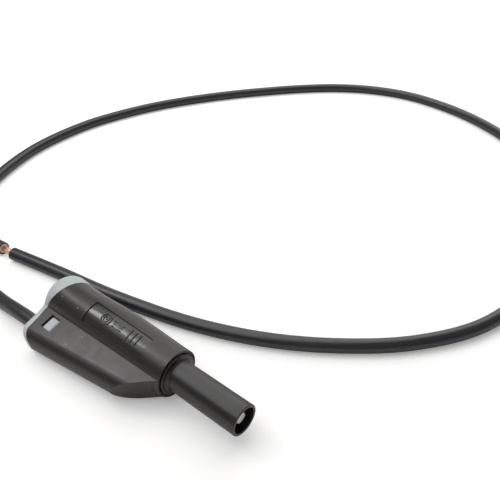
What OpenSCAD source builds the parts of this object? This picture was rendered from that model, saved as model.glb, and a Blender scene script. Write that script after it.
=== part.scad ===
// Stackable safety test plug, 4 mm, on a flexible double-insulated test cable.
// The plug lies on a table: X runs along the plug's axis towards the tip, Z is up.
// X = 0 is the face of the sleeve's shoulder, where the plug stops against a socket.
// Places inside the plug are given as distances behind the housing's front rim.

/* [Insulating sleeve] */
// Outside diameter of the fixed sleeve around the pin
sleeve_od = 7.8; // [7.6:0.1:8.0]
// Wall of the sleeve
sleeve_wall = 0.7; // [0.6:0.05:0.8]
// Reach of the sleeve in front of the housing's rim
sleeve_reach = 20.7; // [19:0.1:24]
// Outside diameter of the sleeve's shoulder
shoulder_d = 10.7; // [10.6:0.1:11.1]
// Reach of the shoulder in front of the rim
shoulder_reach = 0.4; // [0.4:0.1:1]
// Radius of the shoulder's outer edge
shoulder_round = 0.35; // [0.2:0.05:0.4]
// Radius of the hollow in which the tube grows into the shoulder
hollow_r = 0.9; // [0.5:0.1:1]
// Depth of the shoulder's seat behind the rim
seat_depth = 0.5; // [0.3:0.1:0.8]
// Length of the sleeve's hub behind the rim
hub_len = 15; // [13:0.5:17]
// Thickness of the two flanges of the hub
hub_flange = 2; // [1.2:0.1:2.5]

/* [Contacts] */
// Diameter of the plug pin and of the socket at the back
pin_d = 4; // [3.9:0.05:4.1]
// Distance from the sleeve's mouth back to the tip of the pin
tip_recess = 1; // [0.5:0.1:2]
// Diameter of the flat end of the tip
tip_d = 2.6; // [2:0.1:3]
// Length of the tapered tip
tip_len = 2.4; // [1.5:0.1:4]
// Length of the sprung contact cage
cage_len = 13; // [9:0.5:14]
// Number of slots in the contact cage
cage_slots = 8; // [6:1:10]
// Width of each slot
slot_w = 0.36; // [0.2:0.02:0.5]
// Length of the closed ring at each end of the cage
cage_ring = 2; // [1:0.1:2.5]
// Wall of the contact cage
cage_wall = 0.35; // [0.25:0.05:0.4]
// Wall of the socket at the back
socket_wall = 0.6; // [0.4:0.05:0.8]
// Depth of the socket
socket_depth = 19.5; // [19:0.5:21]
// Distance of the socket's mouth from the cap's back face
socket_recess = 1.8; // [1:0.1:3]
// Diameter of the collar on the contact
collar_d = 8; // [7:0.1:9]
// Thickness of the collar
collar_t = 1.6; // [1:0.1:2.5]
// Thickness of the stamped bridge plate
plate_t = 1; // [0.8:0.1:1.5]
// Width of the bridge plate between its two round ends
neck_w = 3.6; // [3:0.1:4]
// Diameter of the crimp sleeve
crimp_d = 3.4; // [3:0.1:3.8]
// Length of the crimp sleeve behind the plate
crimp_len = 9.5; // [8:0.5:11]
// Diameter of the crimp sleeve's riveted end
rivet_d = 2.4; // [2:0.1:2.8]
// Wall of the tube that insulates the socket
shroud_wall = 0.5; // [0.4:0.05:0.55]
// Thickness of that tube's flange
guard_t = 1.4; // [1:0.1:2]

/* [Housing] */
// Length of housing and cap together
body_len = 43.9; // [42:0.1:46]
// Wall of the main barrel at its front rim
rim_wall = 0.5; // [0.3:0.05:0.8]
// Open gap between that rim and the sleeve's shoulder
rim_gap = 0.3; // [0.1:0.05:0.4]
// Growth of the main barrel's radius from its rim to its back
barrel_rise = 0.85; // [0.6:0.05:1.4]
// The same for the grip and the back on the side away from the cable
grip_rise = 0.4; // [0.2:0.05:0.8]
// Drop of the waist on that side below the rim's radius
waist_drop = 0.1; // [0:0.05:0.2]
// Distance between the axes of the pin and the cable
cable_offset = 10.5; // [10.4:0.1:11]
// Wall over the latch pocket on each flat
flat_wall = 0.95; // [0.8:0.05:1.2]
// Angle of the cable barrel's side to the pin's axis
side_angle = 7; // [5:0.5:8]
// Angle of the slanted wall in front of the cable barrel
nose_angle = 37.5; // [33:0.5:41]
// Height of the bead that holds the sleeve's hub
bead_h = 0.25; // [0.1:0.05:0.4]
// Depth of the bare label recess
label_depth = 0.25; // [0.15:0.05:0.3]
// Length of the label recess
label_len = 20.5; // [16:0.5:22]
// Width of the label recess around the barrel, in degrees
label_span = 54; // [40:2:64]

/* [Cap] */
// Radial play of a mating sleeve in the cap
mate_gap = 0.25; // [0.15:0.05:0.35]
// Wall of the cap's liner tube
liner_wall = 1.15; // [1:0.05:1.4]
// Length of the latch window along the plug
window_len = 3.6; // [3:0.1:4]
// Width of the latch window
window_w = 3.9; // [3.2:0.1:4]
// Height of the latch lug above its tongue
lug_rise = 0.5; // [0.3:0.1:0.7]
// Gap that shows behind the lug and on its side towards the main barrel
lug_gap = 0.4; // [0.2:0.05:0.5]
// Wall of the tongue beside the cable's channel
tongue_wall = 0.6; // [0.5:0.05:0.8]
// Joint gap between cap and housing
joint_gap = 0.08; // [0.05:0.01:0.15]
// Radial play between moulded or turned pieces
fit_gap = 0.05; // [0.03:0.01:0.08]
// Play around the tongue and the bridge plate
loose_gap = 0.2; // [0.15:0.05:0.3]

/* [Cable] */
// Outside diameter of the cable
cable_od = 4; // [3.8:0.1:4.1]
// Radial play of the cable in the cap
cable_play = 0.15; // [0.1:0.05:0.25]
// Diameter over the inner insulation
core_od = 2.9; // [2.6:0.1:3.2]
// Length of inner insulation bared inside the plug
core_bared = 2; // [1:0.5:3]
// Diameter of one bunch of copper strands
bunch_d = 0.5; // [0.4:0.05:0.55]
// Bare length between the jacket's cut end and the slug
bare_gap = 5; // [3:0.5:8]
// Length of the insulation slug
slug_len = 10; // [8:0.5:14]

/* [Hidden] */
$fn = 64;
far = 60;
chamfer = 0.2;

pin_r = pin_d / 2;
head_r = pin_r - chamfer;
tip_x = sleeve_reach - tip_recess;
cage_x = tip_x - tip_len;
sleeve_r = sleeve_od / 2;
sleeve_ir = sleeve_r - sleeve_wall;
liner_ir = sleeve_r + mate_gap;
liner_r = liner_ir + liner_wall;
bore_r = liner_r + fit_gap;
flange_r = bore_r - fit_gap;
hub_r = sleeve_r + 0.4;
shoulder_r = shoulder_d / 2;

seat_r = shoulder_r + rim_gap;
rim_r = seat_r + rim_wall;
full_r = rim_r + barrel_rise;
grip_r = rim_r + grip_rise;
waist_r = rim_r - waist_drop;
grip_x = 18.6;
waist_x = body_len - 9.3;
flare_x = body_len - 1.3;
back_round = 2;
ring_step = 2;
barrel_sides = 48;

collar_r = collar_d / 2;
collar_back = hub_len + collar_t;
plate_back = collar_back + plate_t;
guard_back = plate_back + guard_t;
bead_back = hub_len - hub_flange - fit_gap;
bead_w = 0.8;

socket_r = pin_r + socket_wall;
shroud_ir = socket_r + fit_gap;
shroud_r = shroud_ir + shroud_wall;
shroud_lip = 0.6;
socket_mouth = body_len - socket_recess;
socket_floor = socket_mouth - socket_depth;
drill_angle = 31;

cable_r = cable_od / 2;
core_r = core_od / 2;
wire_r = bunch_d * 1.5;
wire_bore = wire_r + fit_gap;
hole_r = cable_r + cable_play;
channel_r = hole_r + fit_gap;
crimp_r = crimp_d / 2;
rivet_r = rivet_d / 2;
crimp_back = plate_back + crimp_len;
crimp_floor = plate_back + 2.5;
core_front = crimp_back + 0.9;
cable_start = core_front + core_bared;

tongue_in = bore_r + 1.5;
tongue_half = hole_r + tongue_wall;
pocket_half = tongue_half + fit_gap;
flat_half = pocket_half + flat_wall;
window_front = body_len - 9.6;
tongue_front = window_front - 0.6;
tongue_root = body_len - 2.5;
liner_root = body_len - 3;

nose_v = sqrt(rim_r * rim_r - flat_half * flat_half) - fit_gap;
nose_back = 0.3;
edge_d = body_len - 6.3;
edge_v = cable_offset + 1.65;
wing_back_v = edge_v + 4.2 * tan(side_angle);
roll = asin((full_r - flat_half) / wing_back_v);

cable_y = -cable_offset * cos(roll);
cable_z = -cable_offset * sin(roll);
lie_z = cable_r - full_r;
tail_turn = 5;

label_front = 7.6;
label_mid = 10;

// Line between housing and cap, as [sideways, distance from the back] seen on the flat
joint_line = [[9, 6.5], [6.5, 6.1], [3.9, 5.7], [0, 4.9], [-3, 3.9], [-6, 2.7], [-9, 3.2],
    [-12.5, 3.5], [-14, 3.9], [-15.2, 4.9], [-16, 6.7], [-16.6, 9.6]];
// Back edge of the cap on the cable's side, given the same way
back_line = [[-1, -0.3], [-3.5, -0.1], [-5, 0.4], [-6.3, 1.2], [-8, 1.6], [-10, 1.8],
    [-12.8, 2], [-14.2, 2.6], [-15.3, 3.8], [-16, 5.6], [-16.6, 8]];

// Route of the cable: out of the cap, round the table and back past the plug
route = [
    [-cable_start - shoulder_reach, cable_y, cable_z],
    [-body_len - shoulder_reach - 1, cable_y, cable_z], [-52.5, -10.2, -3.2],
    [-60.5, -9.9, -4.6], [-68.5, -9.6, lie_z], [-79.5, -9.6, lie_z], [-91.5, -7.6, lie_z],
    [-103.5, -2, lie_z], [-114.5, 8, lie_z], [-123.5, 21, lie_z], [-131.5, 36, lie_z],
    [-137, 51, lie_z], [-139.5, 67, lie_z], [-139.5, 83, lie_z], [-136.5, 99, lie_z],
    [-131.5, 115, lie_z], [-124.5, 130, lie_z], [-115.5, 145.5, lie_z], [-105, 160.5, lie_z],
    [-92.5, 176, lie_z], [-78.5, 189.5, lie_z], [-62.5, 199, lie_z], [-44.5, 203.5, lie_z],
    [-25.5, 202, lie_z], [-7.5, 196.5, lie_z], [10.5, 186.5, lie_z], [27.5, 172, lie_z],
    [40.5, 154, lie_z], [49.5, 134, lie_z], [54, 112, lie_z], [53, 91, lie_z],
    [47.5, 68, lie_z], [37, 51, lie_z], [23.5, 38, lie_z], [6.5, 26.6, lie_z],
    [-13.5, 18, lie_z], [-37.5, 12, lie_z], [-59.5, 8.4, lie_z], [-79, 4.9, lie_z]];
route_end = route[len(route) - 1];
tube_sides = 10;

function ease(t) = (1 - cos(180 * t)) / 2;

// Radius of the main barrel on the cable's side, a plain draft from rim to back
function near_r(d) = rim_r + barrel_rise * d / body_len;

// Radius on the other side, with the bulge and the waist that the fingers hold
function far_r(d) =
    d < grip_x ? rim_r + grip_rise * ease(d / grip_x)
    : d < waist_x ? grip_r + (waist_r - grip_r) * ease((d - grip_x) / (waist_x - grip_x))
    : d < flare_x ? waist_r + (grip_r - waist_r) * ease((d - waist_x) / (flare_x - waist_x))
    : grip_r;

// One point of a smooth curve through a list of points
function curve_point(p, i, t) =
    let (n = len(p) - 1,
         a = p[max(i - 1, 0)], b = p[i], c = p[min(i + 1, n)], d = p[min(i + 2, n)])
    0.5 * (2 * b + t * (c - a) + t * t * (2 * a - 5 * b + 4 * c - d)
        + t * t * t * (3 * b - a - 3 * c + d));
function curve(p, steps) = [
    for (i = [0 : len(p) - 2], k = [0 : steps - 1]) curve_point(p, i, k / steps),
    p[len(p) - 1]];

function unit(v) = v / norm(v);

// Closed skin over a stack of rings that all have the same number of points
module skin(rings) {
    sides = len(rings[0]);
    last = len(rings) - 1;
    walls = [for (i = [0 : last - 1], k = [0 : sides - 1])
        let (a = i * sides, b = (k + 1) % sides)
        [a + k, a + sides + k, a + sides + b, a + b]];
    first_face = [[for (k = [0 : sides - 1]) k]];
    last_face = [[for (k = [sides - 1 : -1 : 0]) last * sides + k]];
    polyhedron([for (r = rings) each r], concat(first_face, walls, last_face));
}

// Turns a piece from the plug's own frame to the way it lies on the table
module lay() {
    translate([-shoulder_reach, 0, 0]) rotate([roll, 0, 0]) children();
}

// A cylinder along the plug's axis between two distances behind the rim
module rod(r, front, back) {
    translate([-back, 0, 0]) rotate([0, 90, 0]) cylinder(r = r, h = back - front);
}

// The same on the cable's axis
module cable_rod(r, front, back) {
    translate([0, -cable_offset, 0]) rod(r, front, back);
}

// A profile of [radius, place] turned round the plug's axis
module turned(profile) {
    rotate([0, 90, 0]) rotate_extrude() polygon(profile);
}

// Main barrel, a loft of ellipses; inset gives the same form that much smaller
module barrel_form(inset) {
    round_start = body_len - back_round;
    stops = concat(
        [for (d = [0 : ring_step : round_start - ring_step / 2]) [d, 0]],
        [for (a = [0 : 22.5 : 90]) [round_start + back_round * sin(a), back_round * (1 - cos(a))]]);
    skin([for (s = stops)
        let (near = near_r(s[0]), away = far_r(s[0]), less = inset + s[1],
             r = (near + away) / 2 - less, shift = (away - near) / 2)
        [for (k = [0 : barrel_sides - 1])
            let (a = 360 * k / barrel_sides)
            [-s[0], shift - r * cos(a), (near - less) * sin(a)]]]);
}

// Cable barrel with its round side and its slanted front wall
module wing_form() {
    intersection() {
        translate([-edge_d, -edge_v, 0]) rotate([0, 0, side_angle]) {
            translate([-far / 4, 0, 0]) rotate([0, 90, 0]) cylinder(r = flat_half, h = far);
            translate([-far / 4, 0, -flat_half]) cube([far, edge_v, 2 * flat_half]);
        }
        translate([0, 0, -far / 2]) linear_extrude(far) polygon([
            [-far, 0], [-nose_back, 0], [-nose_back, -nose_v],
            [-far / 2, -nose_v - far / 2 * tan(nose_angle)], [-far, -far / 2]]);
    }
}

module body_form() {
    barrel_form(0);
    wing_form();
}

// A line of [sideways, distance from the back] as points seen on the flat
function on_flat(line, shift) = [for (p = curve(line, 3)) [p.y - body_len + shift, p.x]];

// Everything in front of the line between housing and cap
module front_zone(shift) {
    edge = on_flat(joint_line, shift);
    translate([0, 0, -far / 2]) linear_extrude(far)
        polygon(concat(edge, [[far / 4, edge[len(edge) - 1].y], [far / 4, edge[0].y]]));
}

// Everything behind the cap's back edge, on the cable's side
module back_zone() {
    edge = on_flat(back_line, 0);
    translate([0, 0, -far / 2]) linear_extrude(far)
        polygon(concat(edge, [[-far, -far], [-far, edge[0].y]]));
}

// Bore of the housing: seat of the shoulder, hub bore and the bead behind the hub's waist
module sleeve_bore() {
    bead_r = bore_r - bead_h;
    turned([
        [0, 1], [seat_r, 1], [seat_r, -seat_depth],
        [bore_r, -seat_depth], [bore_r, -bead_back + bead_w], [bead_r, -bead_back + bead_w / 2],
        [bead_r, -bead_back], [bore_r, -bead_back], [bore_r, -far], [0, -far]]);
}

module latch_window() {
    translate([-window_front - window_len, -tongue_in - window_w + fit_gap, -far / 2])
        cube([window_len, window_w, far]);
}

// Shallow bare recess for a label, its floor parallel to the main barrel
module label_recess() {
    back = label_front + label_len;
    difference() {
        rotate([0, 90, 0]) rotate([0, 0, 180 + label_mid - label_span / 2])
            rotate_extrude(angle = label_span) polygon([
                [bore_r, -label_front], [full_r + 1, -label_front],
                [full_r + 1, -back], [bore_r, -back]]);
        barrel_form(label_depth);
    }
}

module housing() {
    plate_slot = neck_w + 2 * loose_gap;
    color("#2b2b2b") lay() difference() {
        intersection() {
            body_form();
            front_zone(0);
        }
        sleeve_bore();
        cable_rod(channel_r, hub_len, far);
        translate([-far, -cable_offset, -plate_slot / 2])
            cube([far - collar_back + loose_gap, cable_offset, plate_slot]);
        translate([-far, -cable_offset - fit_gap, -pocket_half])
            cube([far - tongue_front + loose_gap, cable_offset - tongue_in + 2 * fit_gap,
                2 * pocket_half]);
        latch_window();
        label_recess();
    }
}

// Fixed sleeve: tube and shoulder in front, with a hollow between them, and a flanged hub
module insulating_sleeve() {
    hub_bore = head_r + fit_gap;
    face_r = shoulder_r - shoulder_round;
    edge_x = shoulder_reach - shoulder_round;
    edge = [for (a = [0 : 15 : 90])
        [face_r + shoulder_round * cos(a), edge_x + shoulder_round * sin(a)]];
    hollow = [for (a = [90 : -15 : 0])
        [sleeve_r + hollow_r * (1 - cos(a)), shoulder_reach + hollow_r * (1 - sin(a))]];
    color("#242424") lay() turned(concat(
        [[sleeve_ir, sleeve_reach], [sleeve_ir, 0.5], [sleeve_ir - 0.5, 0], [hub_bore, 0],
         [hub_bore, -hub_len], [flange_r, -hub_len], [flange_r, -hub_len + hub_flange],
         [hub_r, -hub_len + hub_flange], [hub_r, -seat_depth - hub_flange],
         [flange_r, -seat_depth - hub_flange], [flange_r, -seat_depth],
         [shoulder_r, -seat_depth]],
        edge, hollow,
        [[sleeve_r, sleeve_reach - chamfer],
         [sleeve_r - chamfer, sleeve_reach]]));
}

// Pin, collar and back socket, turned from one bar
module contact_pin() {
    waist = pin_r - cage_wall;
    drill_tip = pin_r * tan(drill_angle);
    color("#c9ccc8") lay() turned([
        [0, tip_x], [tip_d / 2, tip_x], [head_r, cage_x + 0.5], [head_r, cage_x],
        [waist, cage_x], [waist, cage_x - cage_len], [head_r, cage_x - cage_len],
        [head_r, -hub_len], [collar_r, -hub_len], [collar_r, -collar_back],
        [socket_r, -collar_back], [socket_r, -socket_mouth + chamfer],
        [socket_r - chamfer, -socket_mouth], [pin_r + chamfer, -socket_mouth],
        [pin_r, -socket_mouth + chamfer], [pin_r, -socket_floor],
        [0, -socket_floor + drill_tip]]);
}

// Sprung cage in the pin's waist
module contact_cage() {
    slot_len = cage_len - 2 * cage_ring;
    color("#d8dad6") lay() difference() {
        turned([
            [pin_r - cage_wall, cage_x], [head_r, cage_x], [pin_r, cage_x - 0.3],
            [pin_r, cage_x - cage_len], [pin_r - cage_wall, cage_x - cage_len]]);
        for (i = [0 : cage_slots - 1])
            rotate([(i + 0.5) * 360 / cage_slots, 0, 0])
                translate([cage_x - cage_ring - slot_len, -slot_w / 2, 0])
                    cube([slot_len, slot_w, pin_r + 1]);
    }
}

// Stamped plate that joins the contact to the crimp sleeve
module bridge_plate() {
    color("#c8b26a") lay() translate([-plate_back, 0, 0]) rotate([0, 90, 0])
        linear_extrude(plate_t) difference() {
            union() {
                circle(r = collar_r);
                translate([-neck_w / 2, -cable_offset]) square([neck_w, cable_offset]);
                translate([0, -cable_offset]) circle(r = crimp_r + loose_gap);
            }
            circle(r = socket_r + fit_gap);
            translate([0, -cable_offset]) circle(r = rivet_r + fit_gap);
        }
}

// Turned sleeve riveted into the plate, with the wire in its back end
module crimp_sleeve() {
    rivet_front = collar_back - 0.4;
    color("#c9ccc8") lay() translate([0, -cable_offset, 0]) turned([
        [0, -rivet_front], [rivet_r, -rivet_front], [rivet_r, -plate_back],
        [crimp_r, -plate_back], [crimp_r, -crimp_back], [wire_bore, -crimp_back],
        [wire_bore, -crimp_floor], [0, -crimp_floor + 0.3]]);
}

// Tube that insulates the socket, held by its flange
module socket_insulator() {
    color("#242424") lay() turned([
        [shroud_ir, -plate_back], [flange_r, -plate_back], [flange_r, -guard_back],
        [shroud_r, -guard_back], [shroud_r, -socket_mouth - shroud_lip],
        [shroud_ir, -socket_mouth - shroud_lip]]);
}

// Wedge that snaps into the window of the housing, on one side or the other
module latch_lug(side) {
    lug_len = window_len - lug_gap - fit_gap;
    lug_w = window_w - lug_gap - fit_gap;
    ramp = 0.9;
    foot = tongue_half - tongue_wall / 2;
    top = tongue_half + lug_rise;
    mirror([0, 0, side])
        translate([-window_front - window_len + lug_gap, -tongue_in + fit_gap - lug_gap, 0])
            rotate([90, 0, 0]) linear_extrude(lug_w)
                polygon([[0, foot], [0, top], [lug_len - ramp, top],
                    [lug_len, tongue_half], [lug_len, foot]]);
}

module rear_cap() {
    color("#bfc8c4") lay() difference() {
        union() {
            difference() {
                body_form();
                front_zone(-joint_gap);
                back_zone();
            }
            rod(liner_r, guard_back, liner_root);
            translate([-tongue_root, -cable_offset, -tongue_half])
                cube([tongue_root - tongue_front, cable_offset - tongue_in, 2 * tongue_half]);
            latch_lug(0);
            latch_lug(1);
        }
        rod(liner_ir, 0, far);
        cable_rod(hole_r, 0, far);
    }
}

module plug_end_insulation() {
    color("#f2efe6") lay() difference() {
        cable_rod(core_r, core_front, cable_start);
        cable_rod(wire_bore, 0, far);
    }
}

module plug_end_conductor() {
    color("#c77b4a") lay() cable_rod(wire_r, crimp_floor + 0.5, cable_start);
}

// Cross-section ring of the cable at one point of its route
function ring(p, along) =
    let (side = unit(cross([0, 0, 1], along)), up = cross(along, side))
    [for (k = [0 : tube_sides - 1])
        let (a = 360 * k / tube_sides) p + cable_r * (side * cos(a) + up * sin(a))];

module cable() {
    line = curve(route, 2);
    last = len(line) - 1;
    tail = [-cos(tail_turn), -sin(tail_turn), 0];
    heads = [for (i = [0 : last])
        i == 0 ? [-1, 0, 0] : i == last ? tail : unit(line[i + 1] - line[i - 1])];
    color("#2a2a2c") skin([for (i = [0 : last]) ring(line[i], heads[i])]);
}

// Places a piece on the stripped end, with X along the way the cable points
module tail() {
    translate(route_end) rotate([0, 0, 180 + tail_turn]) children();
}

module tail_rod(r, from, to) {
    translate([from, 0, 0]) rotate([0, 90, 0]) cylinder(r = r, h = to - from);
}

// Seven bunches of strands, bare in the gap and still inside the slug
module bare_strands() {
    apart = 0.01;
    reach = bare_gap + slug_len / 2;
    color("#c77b4a") tail() {
        tail_rod(bunch_d / 2, 0, reach);
        for (a = [0 : 60 : 300])
            rotate([a, 0, 0]) translate([0, 0, bunch_d + apart]) tail_rod(bunch_d / 2, 0, reach);
    }
}

module slug_jacket() {
    color("#2a2a2c") tail() difference() {
        tail_rod(cable_r, bare_gap, bare_gap + slug_len);
        tail_rod(core_r, 0, far);
    }
}

module slug_insulation() {
    color("#f2efe6") tail() difference() {
        tail_rod(core_r, bare_gap, bare_gap + slug_len);
        tail_rod(wire_bore, 0, far);
    }
}

housing();
insulating_sleeve();
contact_pin();
contact_cage();
bridge_plate();
crimp_sleeve();
socket_insulator();
rear_cap();
plug_end_insulation();
plug_end_conductor();
cable();
bare_strands();
slug_jacket();
slug_insulation();
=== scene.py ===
# %% [markdown]
# # A stackable safety test lead
# The plug is two moulded barrels side by side. The long one holds a 4 mm contact in a
# fixed sleeve, the short one takes the cable. The solids come ready from CAD, so this
# lesson starts by loading them, and then dresses each piece with rounded edges, smooth
# shading and a material of its own.

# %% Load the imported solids
import random
from math import asin, cos, degrees, hypot, pi, radians, sin, tan

import bmesh
import bpy
from mathutils import Matrix, Vector


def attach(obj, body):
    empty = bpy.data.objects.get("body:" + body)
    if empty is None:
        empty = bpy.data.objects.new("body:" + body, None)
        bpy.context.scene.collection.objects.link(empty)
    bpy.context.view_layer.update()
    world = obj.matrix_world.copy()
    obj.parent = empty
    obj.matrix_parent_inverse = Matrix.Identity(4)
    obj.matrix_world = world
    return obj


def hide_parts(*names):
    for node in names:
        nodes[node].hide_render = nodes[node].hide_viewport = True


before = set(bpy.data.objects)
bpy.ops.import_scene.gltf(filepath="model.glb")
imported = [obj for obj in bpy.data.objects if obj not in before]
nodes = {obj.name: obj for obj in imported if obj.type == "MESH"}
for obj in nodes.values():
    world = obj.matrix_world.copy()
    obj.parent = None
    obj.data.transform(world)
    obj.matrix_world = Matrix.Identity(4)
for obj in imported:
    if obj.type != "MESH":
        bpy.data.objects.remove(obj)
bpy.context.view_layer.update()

scene = bpy.context.scene
MM = 0.001


# %% [markdown]
# The camera comes first, because everything else is judged through it. Its place was
# fitted to the sleeve's mouth, the barrel's rim and the cable in the photograph: it
# looks down on the plug from the side of the tip, at about 36 degrees. A focal length
# in pixels becomes one in millimetres through the width of the sensor.

# %% Camera
PHOTO_SIDE, FOCAL_PIXELS, SENSOR_MM = 500, 580, 36
CAMERA_PLACE = Vector((71.8, -60.2, 104.4)) * MM
LOOK = Vector((-0.5141, 0.6193, -0.5934))

camera = bpy.data.objects.new("camera", bpy.data.cameras.new("camera"))
scene.collection.objects.link(camera)
scene.camera = camera
camera.data.sensor_width = SENSOR_MM
camera.data.lens = FOCAL_PIXELS / PHOTO_SIDE * SENSOR_MM
camera.data.clip_start = 0.005
camera.location = CAMERA_PLACE
camera.rotation_euler = LOOK.to_track_quat("-Z", "Y").to_euler()
print("lens in mm:", round(camera.data.lens, 2))

# %% [markdown]
# The plug lies tilted on the table, on the round belly of its long barrel and on an edge
# of its cable barrel. Each piece could be modelled tilted, but it is easier to measure in
# the plug's own frame, where the pin's axis is X and the housing's rim is at 0. One
# matrix then lays the pieces down, and its inverse reads places back.

# %% How the plug lies
BARREL_R = 7.0  # radius of the long barrel at its back
FLAT_HALF = 3.75  # half the height of the cable barrel, from flat to flat
CABLE_OFFSET = 10.5  # from the pin's axis to the cable's
SIDE_OUT, SIDE_RUN, SIDE_ANGLE = 1.65, 4.2, 7  # the slanted side beyond the cable's axis
SHOULDER = 0.4  # how far the sleeve's shoulder stands in front of the rim
TABLE = -BARREL_R * MM

edge_out = CABLE_OFFSET + SIDE_OUT + SIDE_RUN * tan(radians(SIDE_ANGLE))
ROLL = asin((BARREL_R - FLAT_HALF) / edge_out)
LAY = Matrix.Translation((-SHOULDER * MM, 0, 0)) @ Matrix.Rotation(ROLL, 4, "X")
TO_PLUG = LAY.inverted()
print("the plug is rolled by", round(degrees(ROLL), 2), "degrees")

# %% [markdown]
# The test cable is limp and 4 mm thick. It comes straight out of the cap, sinks to the
# table and makes one wide loop back past the plug, through the same points as the solid
# in CAD. A spline with handles could join them, but a formula that passes through every
# point gives a line that can be measured as well as drawn.

# %% Route of the cable
CABLE_R = 2.0
cable_y = -CABLE_OFFSET * cos(ROLL)
cable_z = -CABLE_OFFSET * sin(ROLL)
lie_z = CABLE_R - BARREL_R
route = [(-30.4, cable_y, cable_z), (-45.3, cable_y, cable_z),
         (-52.5, -10.2, -3.2), (-60.5, -9.9, -4.6)]
route += [(x, y, lie_z) for x, y in (
    (-68.5, -9.6), (-79.5, -9.6), (-91.5, -7.6), (-103.5, -2), (-114.5, 8), (-123.5, 21),
    (-131.5, 36), (-137, 51), (-139.5, 67), (-139.5, 83), (-136.5, 99), (-131.5, 115),
    (-124.5, 130), (-115.5, 145.5), (-105, 160.5), (-92.5, 176), (-78.5, 189.5), (-62.5, 199),
    (-44.5, 203.5), (-25.5, 202), (-7.5, 196.5), (10.5, 186.5), (27.5, 172), (40.5, 154),
    (49.5, 134), (54, 112), (53, 91), (47.5, 68), (37, 51), (23.5, 38), (6.5, 26.6),
    (-13.5, 18), (-37.5, 12), (-59.5, 8.4), (-79, 4.9))]
route = [Vector(p) * MM for p in route]


def smooth_line(points, steps):
    """Points of a smooth curve that passes through all the given ones."""
    line, last = [], len(points) - 1
    for i in range(last):
        a, b = points[max(i - 1, 0)], points[i]
        c, d = points[i + 1], points[min(i + 2, last)]
        for k in range(steps):
            t = k / steps
            line.append(0.5 * (2 * b + t * (c - a) + t * t * (2 * a - 5 * b + 4 * c - d)
                               + t ** 3 * (3 * b - a - 3 * c + d)))
    return line + [points[-1]]


cable_line = smooth_line(route, steps=8)

# %% [markdown]
# A cable is round and equally thick in every bend. A circle could be extruded from point
# to point, but a curve's round bevel does just that without kinks, so a curve draws the
# cable and is then made a mesh.

# %% The cable
def shade_smooth(mesh, sharp):
    """Smooth shading, apart from edges over an angle in degrees."""
    for face in mesh.polygons:
        face.use_smooth = True
    mesh.set_sharp_from_angle(angle=radians(sharp))


def tube_along(name, lines, radius, sides=40):
    """Mesh of one round tube for each line of points, made by a curve's bevel."""
    data = bpy.data.curves.new(name + "_line", "CURVE")
    data.dimensions = "3D"
    data.bevel_depth = radius
    data.bevel_resolution = (sides - 4) // 2
    data.use_fill_caps = True
    for line in lines:
        spline = data.splines.new("POLY")
        spline.points.add(len(line) - 1)
        for point, place in zip(spline.points, line):
            point.co = (*place, 1)
    drawn = bpy.data.objects.new(name + "_line", data)
    scene.collection.objects.link(drawn)
    bevelled = drawn.evaluated_get(bpy.context.evaluated_depsgraph_get())
    piece = bpy.data.objects.new(name, bpy.data.meshes.new_from_object(bevelled))
    scene.collection.objects.link(piece)
    bpy.data.objects.remove(drawn)
    shade_smooth(piece.data, sharp=50)
    return piece


cable = tube_along("test_cable", [cable_line], CABLE_R * MM)
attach(cable, "root")
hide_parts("cable")
print("cable faces:", len(cable.data.polygons))

# %% [markdown]
# Nearly all the other pieces are turned or moulded shapes. A turned piece is a closed
# profile, a list of radius and place along the axis, that bmesh spins into a solid. Its
# edges could be rounded with a bevel afterwards, but roundings in the profile cost
# nothing, and they are what catches the light.

# %% Helpers for pieces
def finish_mesh(name, bm, place=LAY, sharp=35):
    """Object from a bmesh that a matrix puts in place, shaded smooth up to an angle."""
    bmesh.ops.transform(bm, matrix=place, verts=bm.verts)
    mesh = bpy.data.meshes.new(name)
    bm.to_mesh(mesh)
    bm.free()
    cad_normals = mesh.attributes.get("custom_normal")
    if cad_normals:
        mesh.attributes.remove(cad_normals)
    shade_smooth(mesh, sharp)
    piece = bpy.data.objects.new(name, mesh)
    scene.collection.objects.link(piece)
    return piece


def stand_for(piece, node):
    """Attaches a piece to the root body and hides the CAD node it stands for, if one is given.
    """
    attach(piece, "root")
    if node:
        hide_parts(node)
    return piece


# %% Helpers for turned shapes
ON_AXIS = 1e-6  # mm: a smaller radius is on the axis
TOO_SHORT = 1e-3  # mm: a smaller rounding is left out


def rounded(profile, size=0.08, steps=3):
    """The closed profile with its corners rounded by size, or by their own third number."""
    made, count = [], len(profile)
    for i, corner in enumerate(profile):
        p, a = Vector(corner[:2]), Vector(profile[i - 1][:2])
        b = Vector(profile[(i + 1) % count][:2])
        reach = min(corner[2] if len(corner) > 2 else size,
                    0.45 * (a - p).length, 0.45 * (b - p).length)
        if p.x < ON_AXIS or reach < TOO_SHORT:
            made.append(p)
            continue
        start, end = p + (a - p).normalized() * reach, p + (b - p).normalized() * reach
        for k in range(steps + 1):
            t = k / steps
            made.append(start * (1 - t) ** 2 + p * 2 * t * (1 - t) + end * t * t)
    return made


def spun(profile, sides=96):
    """bmesh solid that the closed profile of radius and place, in mm, sweeps round X."""
    bm = bmesh.new()
    ring = [bm.verts.new((x * MM, 0, r * MM)) for r, x in profile]
    edges = [bm.edges.new((ring[i], ring[i + 1])) for i in range(len(ring) - 1)]
    if profile[0][0] > ON_AXIS or profile[-1][0] > ON_AXIS:
        edges.append(bm.edges.new((ring[-1], ring[0])))
    bmesh.ops.spin(bm, geom=ring + edges, cent=(0, 0, 0), axis=(1, 0, 0), angle=2 * pi,
                   steps=sides, use_merge=True)
    bmesh.ops.remove_doubles(bm, verts=bm.verts, dist=1e-7)
    bmesh.ops.recalc_face_normals(bm, faces=bm.faces)
    return bm


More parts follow.
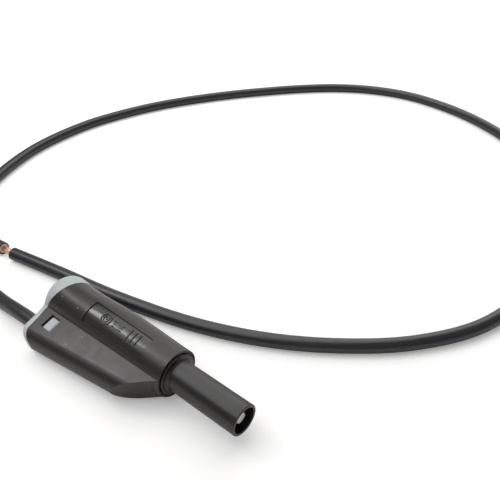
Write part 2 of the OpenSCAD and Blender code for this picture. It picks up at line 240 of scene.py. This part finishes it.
# %% [markdown]
# The insulating sleeve is fixed: a plain tube round the pin, which grows through a
# hollow into a shoulder just proud of the housing's rim. Its hub sits inside. It could
# be cylinders joined together, but the hollow and the shoulder's round edge are arcs,
# and a spun profile takes arcs as they are.

# %% Insulating sleeve
SLEEVE_R, SLEEVE_IR, REACH = 3.9, 3.2, 20.7  # radii of the tube, and its reach
PIN_HOLE, HUB_R, FLANGE_R, SHOULDER_R = 1.85, 4.3, 5.3, 5.35  # radii
HUB, FLANGE, SEAT = 15, 2, 0.5  # lengths behind the rim
EDGE, HOLLOW = 0.35, 0.9  # radii of the two arcs

inside = [(SLEEVE_IR, REACH, 0.12), (SLEEVE_IR, SEAT), (SLEEVE_IR - SEAT, 0), (PIN_HOLE, 0)]
hub = [(PIN_HOLE, -HUB), (FLANGE_R, -HUB), (FLANGE_R, FLANGE - HUB), (HUB_R, FLANGE - HUB),
       (HUB_R, -FLANGE - SEAT), (FLANGE_R, -FLANGE - SEAT), (FLANGE_R, -SEAT),
       (SHOULDER_R, -SEAT)]
shoulder = [(SHOULDER_R - EDGE + EDGE * cos(radians(a)),
             SHOULDER - EDGE + EDGE * sin(radians(a)), 0) for a in range(0, 91, 10)]
hollow = [(SLEEVE_R + HOLLOW - HOLLOW * cos(radians(a)),
           SHOULDER + HOLLOW - HOLLOW * sin(radians(a)), 0) for a in range(90, -1, -10)]
sleeve = spun(rounded(inside + hub + shoulder + hollow + [(SLEEVE_R, REACH, 0.2)]))
sleeve = stand_for(finish_mesh("fixed_insulating_sleeve", sleeve), "insulating_sleeve")
print("sleeve faces:", len(sleeve.data.polygons))

# %% [markdown]
# Housing and cap are moulded shells that clip together. They could be modelled anew,
# but then their seam might no longer fit, so copies of the CAD solids are used. Those
# are loose triangles: they are merged, and their flat areas are joined to large faces.
# A mould has no sharp outer edges, so the convex ones are rounded, and the barrel's rim
# most of all. The label recess stays crisp, and the seam keeps its narrow gap.

# %% Which edges are rounded
RIM_R = 6.15  # radius of the long barrel at its rim
RECESS_FRONT, RECESS_BACK, RECESS_LOW = 7.6, 28.1, 3.8  # behind the rim, and above the axis
CORNER = 28  # degrees: an edge that turns less isn't a corner


def in_recess(p, margin=0.0):
    """Whether a place in the plug's own frame, in mm, is in the label recess."""
    return RECESS_FRONT - margin < -p.x < RECESS_BACK + margin and p.z > RECESS_LOW


def on_rim(p):
    """Whether such a place is on the outer edge of the barrel's front face."""
    return p.x > -0.01 and hypot(p.y, p.z) > RIM_R - 0.15


def outer_edges(bm):
    """Convex edges of the barrel's rim, and the other ones apart from the recess's."""
    rim, others = [], []
    for edge in bm.edges:
        if edge.is_manifold and edge.is_convex and edge.calc_face_angle() > radians(CORNER):
            ends = [TO_PLUG @ v.co / MM for v in edge.verts]
            if all(on_rim(p) for p in ends):
                rim.append(edge)
            elif not all(in_recess(p, margin=0.7) for p in ends):
                others.append(edge)
    return rim, others


# %% [markdown]
# A rounding is a narrow strip of faces. Shading blends over neighbouring faces, so the
# large face beside a strip would show a fan of shades. Marking the strip's borders
# sharp keeps each shade on its own side. The normals that come with the CAD mesh know
# nothing of the new strips, so finish_mesh has dropped them.

# %% Moulded shells from the solids
RIM_EDGE, MOULD_EDGE = 0.15, 0.05  # widths of the roundings


def round_edges(bm, edges, width, border):
    """Rounds edges by a width in mm and marks the borders of the strips."""
    if not edges:
        return
    made = bmesh.ops.bevel(bm, geom=edges, offset=width * MM, segments=3, profile=0.5,
                           affect="EDGES", clamp_overlap=False, material=-1)
    strips = set(made["faces"])
    for edge in {e for face in strips for e in face.edges}:
        edge[border] = int(any(face not in strips for face in edge.link_faces))


def moulded_copy(node, name):
    """Merged copy of a CAD node with its outer edges rounded."""
    bm = bmesh.new()
    bm.from_mesh(nodes[node].data)
    border = bm.edges.layers.int.new("border")
    bmesh.ops.remove_doubles(bm, verts=bm.verts, dist=0.01 * MM)
    bmesh.ops.dissolve_limit(bm, angle_limit=radians(0.05), verts=bm.verts, edges=bm.edges)
    rim, others = outer_edges(bm)
    round_edges(bm, rim, RIM_EDGE, border)
    round_edges(bm, others, MOULD_EDGE, border)
    piece = finish_mesh(name, bm, place=Matrix.Identity(4), sharp=CORNER)
    marks = piece.data.attributes["border"]
    for edge, mark in zip(piece.data.edges, marks.data):
        edge.use_edge_sharp = edge.use_edge_sharp or bool(mark.value)
    piece.data.attributes.remove(marks)
    return piece


housing = stand_for(moulded_copy("housing", "two_barrel_housing"), "housing")
cap = stand_for(moulded_copy("rear_cap", "grey_rear_cap"), "rear_cap")
print("housing faces:", len(housing.data.polygons), "cap faces:", len(cap.data.polygons))

# %% [markdown]
# The long barrel isn't a plain cone. It grows evenly on the cable's side, while the other
# side swells to a grip, narrows to a waist and flares out again. To put things on it,
# the script needs those two sides as the CAD source has them: a point on the barrel is
# then a distance behind the rim and an angle from the top.

# %% The barrel's two sides
RISE, BODY = 0.85, 43.9  # growth of the radius over the whole length
GRIP_R, GRIP = 6.55, 18.6  # radius, and place behind the rim
WAIST_R, WAIST, FLARE = 6.05, 34.6, 8  # the same, and the length of the flare behind it


def ease(t):
    """Runs from 0 to 1 and is level at both ends."""
    return (1 - cos(pi * t)) / 2


def near_r(d):
    """Radius on the cable's side, d behind the rim."""
    return RIM_R + RISE * d / BODY


def far_r(d):
    """Radius on the other side, with its grip and waist."""
    if d < GRIP:
        return RIM_R + (GRIP_R - RIM_R) * ease(d / GRIP)
    if d < WAIST:
        return GRIP_R + (WAIST_R - GRIP_R) * ease((d - GRIP) / (WAIST - GRIP))
    return WAIST_R + (GRIP_R - WAIST_R) * ease(min((d - WAIST) / FLARE, 1))


def on_barrel(d, angle, above=0.0):
    """Point on the barrel, in mm; angle runs from the top to the cable's side."""
    middle, half = (far_r(d) - near_r(d)) / 2, (far_r(d) + near_r(d)) / 2
    return Vector((-d, middle - (half + above) * sin(angle), (near_r(d) + above) * cos(angle)))


print("radii at the waist:", round(near_r(WAIST), 2), "and", round(far_r(WAIST), 2), "mm")

# %% [markdown]
# The recess has a polished floor. Its faces could be picked by hand, but they are told
# by measure: their middles lie at the right depth under the barrel's surface, and they
# don't face along the plug as the end walls do. They take the second material.

# %% Polished floor of the recess
LABEL_FLOOR = -0.25  # height over the barrel's surface
FLOOR_BAND = (-0.32, -0.12)  # heights at which a face counts as floor
polished = 0
for face in housing.data.polygons:
    p = TO_PLUG @ face.center / MM
    if in_recess(p) and abs(face.normal.x) < 0.5:
        near, far = near_r(-p.x), far_r(-p.x)
        height = hypot((p.y - (far - near) / 2) * 2 * near / (near + far), p.z) - near
        if FLOOR_BAND[0] < height < FLOOR_BAND[1]:
            face.material_index = 1
            polished += 1
print("faces of the recess floor:", polished)

# %% [markdown]
# On the floor stands a small plain relief: two rings round a pip, three lines and three
# short ribs. It could be cut from the barrel with booleans, but thin raised shapes are
# easier to model flat. Each is then wrapped round the barrel, by turning its width into
# an angle.

# %% Shapes of the relief
RELIEF_UP, ROOT = 0.2, 0.1  # height above the floor, and depth in it
RIB_EDGE, RING_EDGE = 0.09, 0.1  # roundings of the top edges
WRAP_R = 6.6  # radius of the barrel there, which turns a width into an angle


def wrapped(bm, d, angle):
    """Bends a flat bmesh in mm, X forwards and Y to the cable's side, round the barrel."""
    for v in bm.verts:
        place = on_barrel(d - v.co.x, angle + v.co.y / WRAP_R, LABEL_FLOOR + v.co.z)
        v.co = LAY @ (place * MM)
    bmesh.ops.recalc_face_normals(bm, faces=bm.faces)


def rib(length, width):
    """Flat bar with rounded top edges, cut across so that it can bend."""
    bm = bmesh.new()
    bmesh.ops.create_cube(bm, size=1)
    bmesh.ops.scale(bm, vec=(length, width, RELIEF_UP + ROOT), verts=bm.verts)
    bmesh.ops.translate(bm, vec=(0, 0, (RELIEF_UP - ROOT) / 2), verts=bm.verts)
    top = [e for e in bm.edges if all(v.co.z > 0 for v in e.verts)]
    bmesh.ops.bevel(bm, geom=top, offset=RIB_EDGE, segments=3, profile=0.5, affect="EDGES",
                    material=-1)
    across = [e for e in bm.edges if abs(e.verts[0].co.y - e.verts[1].co.y) > 0.6 * width]
    bmesh.ops.subdivide_edges(bm, edges=across, cuts=6, use_grid_fill=True)
    return bm


def turned_ring(inner, outer):
    """Flat ring, or a round pip where inner is 0, with a rounded top edge."""
    profile = [(inner, -ROOT, 0), (outer, -ROOT, 0), (outer, RELIEF_UP, RING_EDGE),
               (inner, RELIEF_UP, RING_EDGE if inner else 0)]
    bm = spun(rounded(profile), sides=40)
    bmesh.ops.scale(bm, vec=(1 / MM, 1 / MM, 1 / MM), verts=bm.verts)
    bmesh.ops.rotate(bm, cent=(0, 0, 0), matrix=Matrix.Rotation(-pi / 2, 3, "Y"), verts=bm.verts)
    return bm


# %% Relief in the recess
MIDDLE, LINE_STEP = 4, 6  # degrees from the top of the barrel, and from line to line
RINGS_AT, LINES_AT, RIBS_AT = 22, 17.8, (13.7, 12.2, 10.7)  # behind the rim

relief = [(turned_ring(*radii), RINGS_AT, MIDDLE)
          for radii in ((1.3, 1.65), (0.65, 0.95), (0, 0.35))]
relief += [(rib(length=3.2, width=0.4), LINES_AT, MIDDLE + k)
           for k in (-LINE_STEP, 0, LINE_STEP)]
relief += [(rib(length=0.46, width=3.2), d, MIDDLE) for d in RIBS_AT]

whole = bmesh.new()
whole.from_mesh(housing.data)
for bm, d, angle in relief:
    wrapped(bm, d, radians(angle))
    part = bpy.data.meshes.new("relief")
    bm.to_mesh(part)
    bm.free()
    for face in part.polygons:
        face.material_index = 1
    shade_smooth(part, sharp=40)
    whole.from_mesh(part)
    bpy.data.meshes.remove(part)
whole.to_mesh(housing.data)
whole.free()
print("housing faces with its relief:", len(housing.data.polygons))

# %% [markdown]
# At the stripped end the cable shows its layers: black jacket, off-white inner
# insulation and a bundle of fine copper strands. The cut jacket and insulation have been
# pulled along the strands as a short slug. All of these are short tubes, so one helper
# spins them, and a matrix at the end of the route puts them in line with the cable.

# %% Layers at the stripped end
TAIL_TURN = 5  # degrees by which the cut end turns away from the line along X
CORE_R, WIRE_BORE = 1.45, 0.8  # radii of the inner insulation
BARE_GAP, SLUG = 5.0, 10.0  # lengths of the gap and of the slug beyond it
TAIL = Matrix.Translation(route[-1]) @ Matrix.Rotation(pi + radians(TAIL_TURN), 4, "Z")


def layer(name, inner, outer, start, end, edge):
    """Short tube between two radii, from one place beyond the cut to another, in mm."""
    profile = [(inner, start), (outer, start), (outer, end), (inner, end)]
    return finish_mesh(name, spun(rounded(profile, edge)), TAIL)


core_end = layer("core_insulation_at_cut", WIRE_BORE, CORE_R, start=0.04, end=-0.5, edge=0.03)
slug_jacket = layer("slug_of_jacket", CORE_R, CABLE_R,
                    start=BARE_GAP, end=BARE_GAP + SLUG, edge=0.06)
slug_core = layer("slug_of_core_insulation", WIRE_BORE, CORE_R,
                  start=BARE_GAP - 0.1, end=BARE_GAP + SLUG - 0.05, edge=0.05)
stand_for(core_end, None)
stand_for(slug_jacket, "slug_jacket")
stand_for(slug_core, "slug_insulation")
print("the slug lies", BARE_GAP, "to", BARE_GAP + SLUG, "mm beyond the cut")

# %% [markdown]
# The strands are 37 fine wires: one in the middle and three rings round it. A single
# thick wire with a bump would be quicker, but the gaps between real wires catch the
# light. Each wire is a line that twists a little and bulges where the insulation is
# gone, and the curve helper that drew the cable draws them too.

# %% Copper strands
STRAND_R, RINGS, PITCH = 0.1, 3, 0.215  # a wire's radius, and the rings and their pitch
BULGE, UNEVEN = 0.12, 0.05  # growth of the pitch in the gap, and its random share
TWIST, WANDER = 0.45, 0.12  # radians along the gap, and at most to either side
HIDDEN, STEPS = 0.3, 24  # start inside the cable, and steps of a line

random.seed(7)
wires = [(0, 0)]
for ring in range(1, RINGS + 1):
    wires += [(ring, 2 * pi * k / (6 * ring)) for k in range(6 * ring)]
strands = []
for ring, angle in wires:
    line, wander = [], random.uniform(-WANDER, WANDER)
    for k in range(STEPS + 1):
        along = -HIDDEN + (BARE_GAP + SLUG / 2 + HIDDEN) * k / STEPS
        t = min(max(along / BARE_GAP, 0), 1)
        spread = ring * (PITCH + (BULGE + UNEVEN * wander) * sin(pi * t ** 1.4) ** 2)
        turn = angle + TWIST * along / BARE_GAP + wander * sin(pi * t)
        line.append(TAIL @ (Vector((along, spread * cos(turn), spread * sin(turn))) * MM))
    strands.append(line)
copper = tube_along("copper_strands", strands, STRAND_R * MM, sides=8)
stand_for(copper, "bare_strands")
print("strands:", len(strands))

# %% [markdown]
# The cable lies free, in one large open loop, and the pieces of its stripped end sit on its end.

# %% [markdown]
# Materials start from what each real one is. Picking colours by eye in linear numbers is
# hard, so they are written as sRGB hex values, and one function turns those to linear.
# A second one adds a node with its settings and links, and the last two are for what
# repeats: a new material, and giving it to pieces.

# %% Helpers for materials
def colour(code):
    """Linear RGBA of an sRGB hex colour."""
    parts = [int(code[i:i + 2], 16) / 255 for i in (1, 3, 5)]
    return [v / 12.92 if v <= 0.04045 else ((v + 0.055) / 1.055) ** 2.4 for v in parts] + [1]


def add(tree, kind, links=(), values=(), **settings):
    """Adds a node; links and values are pairs of an input and its source or value."""
    made = tree.nodes.new(kind)
    for key, value in settings.items():
        setattr(made, key, value)
    for key, value in values:
        made.inputs[key].default_value = value
    for key, source in links:
        tree.links.new(source, made.inputs[key])
    return made


def material(name, base, roughness, metallic=0.0, ior=1.5):
    """New material with its tree, its shader and Object coordinates."""
    made = bpy.data.materials.new(name)
    made.use_nodes = True
    tree = made.node_tree
    shader = tree.nodes["Principled BSDF"]
    shader.inputs["Base Color"].default_value = colour(base)
    shader.inputs["Roughness"].default_value = roughness
    shader.inputs["Metallic"].default_value = metallic
    if not metallic:
        shader.inputs["IOR"].default_value = ior
    coords = add(tree, "ShaderNodeTexCoord").outputs["Object"]
    return made, tree, shader, coords


def dress(made, *pieces):
    """Gives pieces this material and no other."""
    for piece in pieces:
        piece.data.materials.clear()
        piece.data.materials.append(made)


print("black at #272320 is linear", [round(v, 4) for v in colour("#272320")])

# %% [markdown]
# Every moulded or extruded skin here has a fine grain. It could be a displaced mesh,
# but at a tenth of a millimetre a bump from a noise looks the same and costs nothing.
# A subsurface share goes to the pale plastics, in which light scatters under the skin.
# Most noise lies between 0.3 and 0.7, and that middle is stretched to its full range.

# %% Grain and scattering
NOISE_MIDDLE = [("From Min", 0.3), ("From Max", 0.7)]


def grain(tree, shader, coords, size_mm, height_mm, strength, detail=2):
    """Bump on the shader, with grains of about size_mm."""
    noise = add(tree, "ShaderNodeTexNoise", [("Vector", coords)],
                [("Scale", 1 / (size_mm * MM)), ("Detail", detail)])
    bump = add(tree, "ShaderNodeBump", [("Height", noise.outputs["Fac"])],
               [("Strength", strength), ("Distance", height_mm * MM)])
    tree.links.new(bump.outputs["Normal"], shader.inputs["Normal"])


def scatter(shader, weight, radii_mm):
    """Light under the skin, as deep as the radii for red, green and blue."""
    shader.inputs["Subsurface Weight"].default_value = weight
    shader.inputs["Subsurface Radius"].default_value = [r * MM for r in radii_mm]
    shader.inputs["Subsurface Scale"].default_value = 1.0


# %% [markdown]
# A little pale lint has settled on the black plastic. Each speck could be a small piece,
# but a cell pattern places them all: a speck lies in the middle of a cell, and a random
# number of that cell says how large it is. Most come out too small to see.

# %% Lint
LINT_SPACING, LINT_COLOUR = 2.1, "#b9b3ae"
LINT_SIZE, LINT_EDGE = 0.11, 0.03  # largest speck and its soft edge, in cells


def lint_specks(tree, coords, dust):
    """Share of lint: 0 on bare plastic, and up to dust in the middle of a speck."""
    cells = add(tree, "ShaderNodeTexVoronoi", [("Vector", coords)],
                [("Scale", 1 / (LINT_SPACING * MM))])
    chance = add(tree, "ShaderNodeSeparateColor", [("Color", cells.outputs["Color"])])
    size = add(tree, "ShaderNodeMath", [(0, chance.outputs["Red"])], [(1, LINT_SIZE)],
               operation="MULTIPLY")
    within = add(tree, "ShaderNodeMath", [(0, size.outputs["Value"]),
                                          (1, cells.outputs["Distance"])], operation="SUBTRACT")
    speck = add(tree, "ShaderNodeMapRange", [("Value", within.outputs["Value"])],
                [("From Min", 0.0), ("From Max", LINT_EDGE), ("To Min", 0.0), ("To Max", dust)])
    return speck.outputs["Result"]


# %% [markdown]
# The housing is black polyamide, moulded in a spark-eroded tool: to the eye a charcoal
# surface whose fine grain spreads the softbox to a wide satin highlight. The grain is
# drawn 0.16 mm wide, a little coarser than the real one, so that it shows. The floor of
# the recess and the sleeve come from polished parts of a mould: they are smoother, and
# their highlights are tighter. Gloss and tint vary a little in patches, as on any
# moulded piece that has been handled.

# %% Black moulded polyamide
PATCH_MM, PATCH_TINT = 3, 1.15  # size of a patch, and how much paler the palest is


def moulded_black(name, base, rough_low, rough_high, grain_mm, grain_height, dust=0.0):
    """Black plastic with patches of gloss and tint, a grain, and lint where dust isn't 0."""
    made, tree, shader, coords = material(name, base, rough_low, ior=1.53)
    patch = add(tree, "ShaderNodeTexNoise", [("Vector", coords)],
                [("Scale", 1 / (PATCH_MM * MM)), ("Detail", 4)])
    rough = add(tree, "ShaderNodeMapRange", [("Value", patch.outputs["Fac"])],
                [*NOISE_MIDDLE, ("To Min", rough_low), ("To Max", rough_high)])
    tree.links.new(rough.outputs["Result"], shader.inputs["Roughness"])
    grain(tree, shader, coords, grain_mm, grain_height, strength=0.35)
    shade = add(tree, "ShaderNodeMapRange", [("Value", patch.outputs["Fac"])],
                [*NOISE_MIDDLE, ("To Min", 0.0), ("To Max", 1.0)])
    tint = add(tree, "ShaderNodeMix", [("Factor", shade.outputs["Result"])], data_type="RGBA")
    tint.inputs["A"].default_value = colour(base)
    tint.inputs["B"].default_value = [PATCH_TINT * v for v in colour(base)[:3]] + [1]
    mixed = add(tree, "ShaderNodeMix", [("Factor", lint_specks(tree, coords, dust)),
                                        ("A", tint.outputs["Result"])], data_type="RGBA")
    mixed.inputs["B"].default_value = colour(LINT_COLOUR)
    tree.links.new(mixed.outputs["Result"], shader.inputs["Base Color"])
    return made


housing_black = moulded_black("polyamide_spark_eroded_black", "#272320", 0.3, 0.38,
                              grain_mm=0.16, grain_height=0.012, dust=0.5)
label_black = moulded_black("polyamide_polished_label_floor", "#2a2927", 0.16, 0.2,
                            grain_mm=0.5, grain_height=0.004)
sleeve_black = moulded_black("polyamide_polished_mould_black", "#252220", 0.28, 0.36,
                             grain_mm=0.22, grain_height=0.008)
housing.data.materials.append(housing_black)
housing.data.materials.append(label_black)
dress(sleeve_black, sleeve, nodes["socket_insulator"])
print("housing materials:", [made.name for made in housing.data.materials])

# %% [markdown]
# The cap is the same polyamide in light grey. To the eye it is softer than the black,
# because it is slightly translucent, so a little light scatters under its skin. Two
# close greys in wide patches keep it from looking painted.

# %% Light grey moulded polyamide
cap_grey, tree, shader, coords = material("polyamide_light_grey", "#b8bfbf", 0.4, ior=1.53)
scatter(shader, 0.08, (0.8, 0.8, 0.8))
grain(tree, shader, coords, 0.2, 0.015, strength=0.3)
patch = add(tree, "ShaderNodeTexNoise", [("Vector", coords)],
            [("Scale", 1 / (4 * MM)), ("Detail", 3)])
greys = add(tree, "ShaderNodeMix", [("Factor", patch.outputs["Fac"])], data_type="RGBA")
greys.inputs["A"].default_value = colour("#b4bbbb")
greys.inputs["B"].default_value = colour("#bcc3c3")
tree.links.new(greys.outputs["Result"], shader.inputs["Base Color"])
dress(cap_grey, cap)
print("cap material:", cap_grey.name)

# %% [markdown]
# The contacts are turned brass with a nickel plate, a bright and slightly warm grey. Fine
# turning lines run round the axis and break its highlight, so a wave along X moves the
# roughness and the bump. They are drawn 0.12 mm apart, coarser than real ones, so that
# they show. The stamped plate is bare brass, yellow and duller. The wires are drawn
# copper: pale pink metal with a satin gloss that changes slowly along them.

# %% Plated and bare metals
WAVE_LENGTH = pi / 10  # of a wave node whose scale is 1


def turned_metal(name, base, rough_low, rough_high, pitch_mm):
    """Metal with lines across X, pitch_mm apart."""
    made, tree, shader, coords = material(name, base, rough_low, metallic=1.0)
    lines = add(tree, "ShaderNodeTexWave", [("Vector", coords)],
                [("Scale", WAVE_LENGTH / (pitch_mm * MM)), ("Distortion", 0.6), ("Detail", 2)],
                bands_direction="X")
    rough = add(tree, "ShaderNodeMapRange", [("Value", lines.outputs["Fac"])],
                [("To Min", rough_low), ("To Max", rough_high)])
    tree.links.new(rough.outputs["Result"], shader.inputs["Roughness"])
    bump = add(tree, "ShaderNodeBump", [("Height", lines.outputs["Fac"])],
               [("Strength", 0.15), ("Distance", 0.01 * MM)])
    tree.links.new(bump.outputs["Normal"], shader.inputs["Normal"])
    return made


nickel = turned_metal("brass_turned_nickel_plated", "#cbc9c3", 0.2, 0.34, 0.12)
brass = turned_metal("brass_stamped", "#c9a45c", 0.28, 0.42, 0.3)
copper_wire = turned_metal("copper_drawn", "#f4c5a8", 0.32, 0.46, 0.4)
dress(nickel, nodes["contact_pin"], nodes["contact_cage"], nodes["crimp_sleeve"])
dress(brass, nodes["bridge_plate"])
dress(copper_wire, nodes["plug_end_conductor"], copper)
print("metals:", nickel.name, brass.name, copper_wire.name)

# %% [markdown]
# The jacket is soft PVC, extruded over the insulation. To the eye it is a dark satin tube
# with a long soft highlight, which a slight haze and a fine grain break up. The inner
# insulation is natural silicone, off-white and waxy, so more light scatters in it.

# %% Jacket and inner insulation
jacket, tree, shader, coords = material("soft_pvc_jacket_extruded_black", "#2a292c", 0.38,
                                        ior=1.55)
haze = add(tree, "ShaderNodeTexNoise", [("Vector", coords)],
           [("Scale", 1 / (2.5 * MM)), ("Detail", 5)])
rough = add(tree, "ShaderNodeMapRange", [("Value", haze.outputs["Fac"])],
            [*NOISE_MIDDLE, ("To Min", 0.28), ("To Max", 0.38)])
tree.links.new(rough.outputs["Result"], shader.inputs["Roughness"])
grain(tree, shader, coords, 0.3, 0.015, strength=0.25, detail=3)
dress(jacket, cable, slug_jacket)

core_white, tree, shader, coords = material("silicone_core_insulation_natural", "#e9e2d6", 0.45,
                                            ior=1.45)
scatter(shader, 0.15, (1, 0.8, 0.6))
grain(tree, shader, coords, 0.4, 0.02, strength=0.2, detail=3)
dress(core_white, core_end, slug_core, nodes["plug_end_insulation"])
print("cable materials:", jacket.name, core_white.name)

# %% [markdown]
# The stage is a plain pale floor of matt paper. To the eye it is white, but it has to
# keep the object's shadow, and more light would bleach the object as well. So the floor
# glows a little, for camera rays alone, and far away it glows up to full white.

# %% Floor
FLOOR_HALF = 3  # metres
GLOW_NEAR, GLOW_FAR = (0.45, 0.28), (0.9, 1.0)  # distance in metres, and strength there

bm = bmesh.new()
bmesh.ops.create_grid(bm, x_segments=1, y_segments=1, size=FLOOR_HALF)
bmesh.ops.translate(bm, vec=(0, 0, TABLE), verts=bm.verts)
floor = finish_mesh("pale_floor", bm, Matrix.Identity(4))
paper, tree, shader, coords = material("paper_white_matt", "#f1f0ef", 0.9)
ray = add(tree, "ShaderNodeLightPath")
distance = add(tree, "ShaderNodeVectorMath", [("Vector", coords)], operation="LENGTH")
fade = add(tree, "ShaderNodeMapRange", [("Value", distance.outputs["Value"])],
           [("From Min", GLOW_NEAR[0]), ("From Max", GLOW_FAR[0]),
            ("To Min", GLOW_NEAR[1]), ("To Max", GLOW_FAR[1])])
glow = add(tree, "ShaderNodeMath", [(0, ray.outputs["Is Camera Ray"]),
                                    (1, fade.outputs["Result"])], operation="MULTIPLY")
tree.links.new(glow.outputs["Value"], shader.inputs["Emission Strength"])
shader.inputs["Emission Color"].default_value = (1, 1, 1, 1)
dress(paper, floor)
print("floor at", round(TABLE / MM, 2), "mm")

# %% [markdown]
# A large softbox overhead gives the long soft highlights, a small lamp from the left adds
# a crisper one, and a softbox behind lights the far side. The world fills the shadows
# weakly and is white where the camera sees it. Each softbox is an area light, because
# the size of an area light is what makes a highlight wide and a shadow soft.

# %% Lights
WORLD_FILL, WORLD_SEEN = 0.2, 1.0  # strength for the object, and for the camera


def softbox(name, place, target, width, height, power):
    """Rectangular area light; sizes in metres, power in watts."""
    data = bpy.data.lights.new(name, "AREA")
    data.shape = "RECTANGLE"
    data.size, data.size_y, data.energy = width, height, power
    lamp = bpy.data.objects.new(name, data)
    lamp.location = place
    lamp.rotation_euler = (Vector(target) - Vector(place)).to_track_quat("-Z", "Y").to_euler()
    scene.collection.objects.link(lamp)


world = bpy.data.worlds.new("studio")
scene.world = world
world.use_nodes = True
tree = world.node_tree
tree.nodes["Background"].inputs["Color"].default_value = (1, 1, 1, 1)
ray = add(tree, "ShaderNodeLightPath")
fill = add(tree, "ShaderNodeMapRange", [("Value", ray.outputs["Is Camera Ray"])],
           [("To Min", WORLD_FILL), ("To Max", WORLD_SEEN)])
tree.links.new(fill.outputs["Result"], tree.nodes["Background"].inputs["Strength"])
softbox("top_softbox", (-0.22, 0.32, 0.55), (-0.22, 0.32, 0), width=0.56, height=1.7, power=5.6)
softbox("strip_light", (-0.46, -0.12, 0.55), (-0.02, 0, 0), width=0.2, height=0.1, power=0.5)
softbox("back_softbox", (-0.75, 1.25, 0.45), (0, 0, 0), width=1.2, height=0.8, power=2.7)
scene.view_settings.view_transform = "Standard"
print("lights:", len(bpy.data.lights))
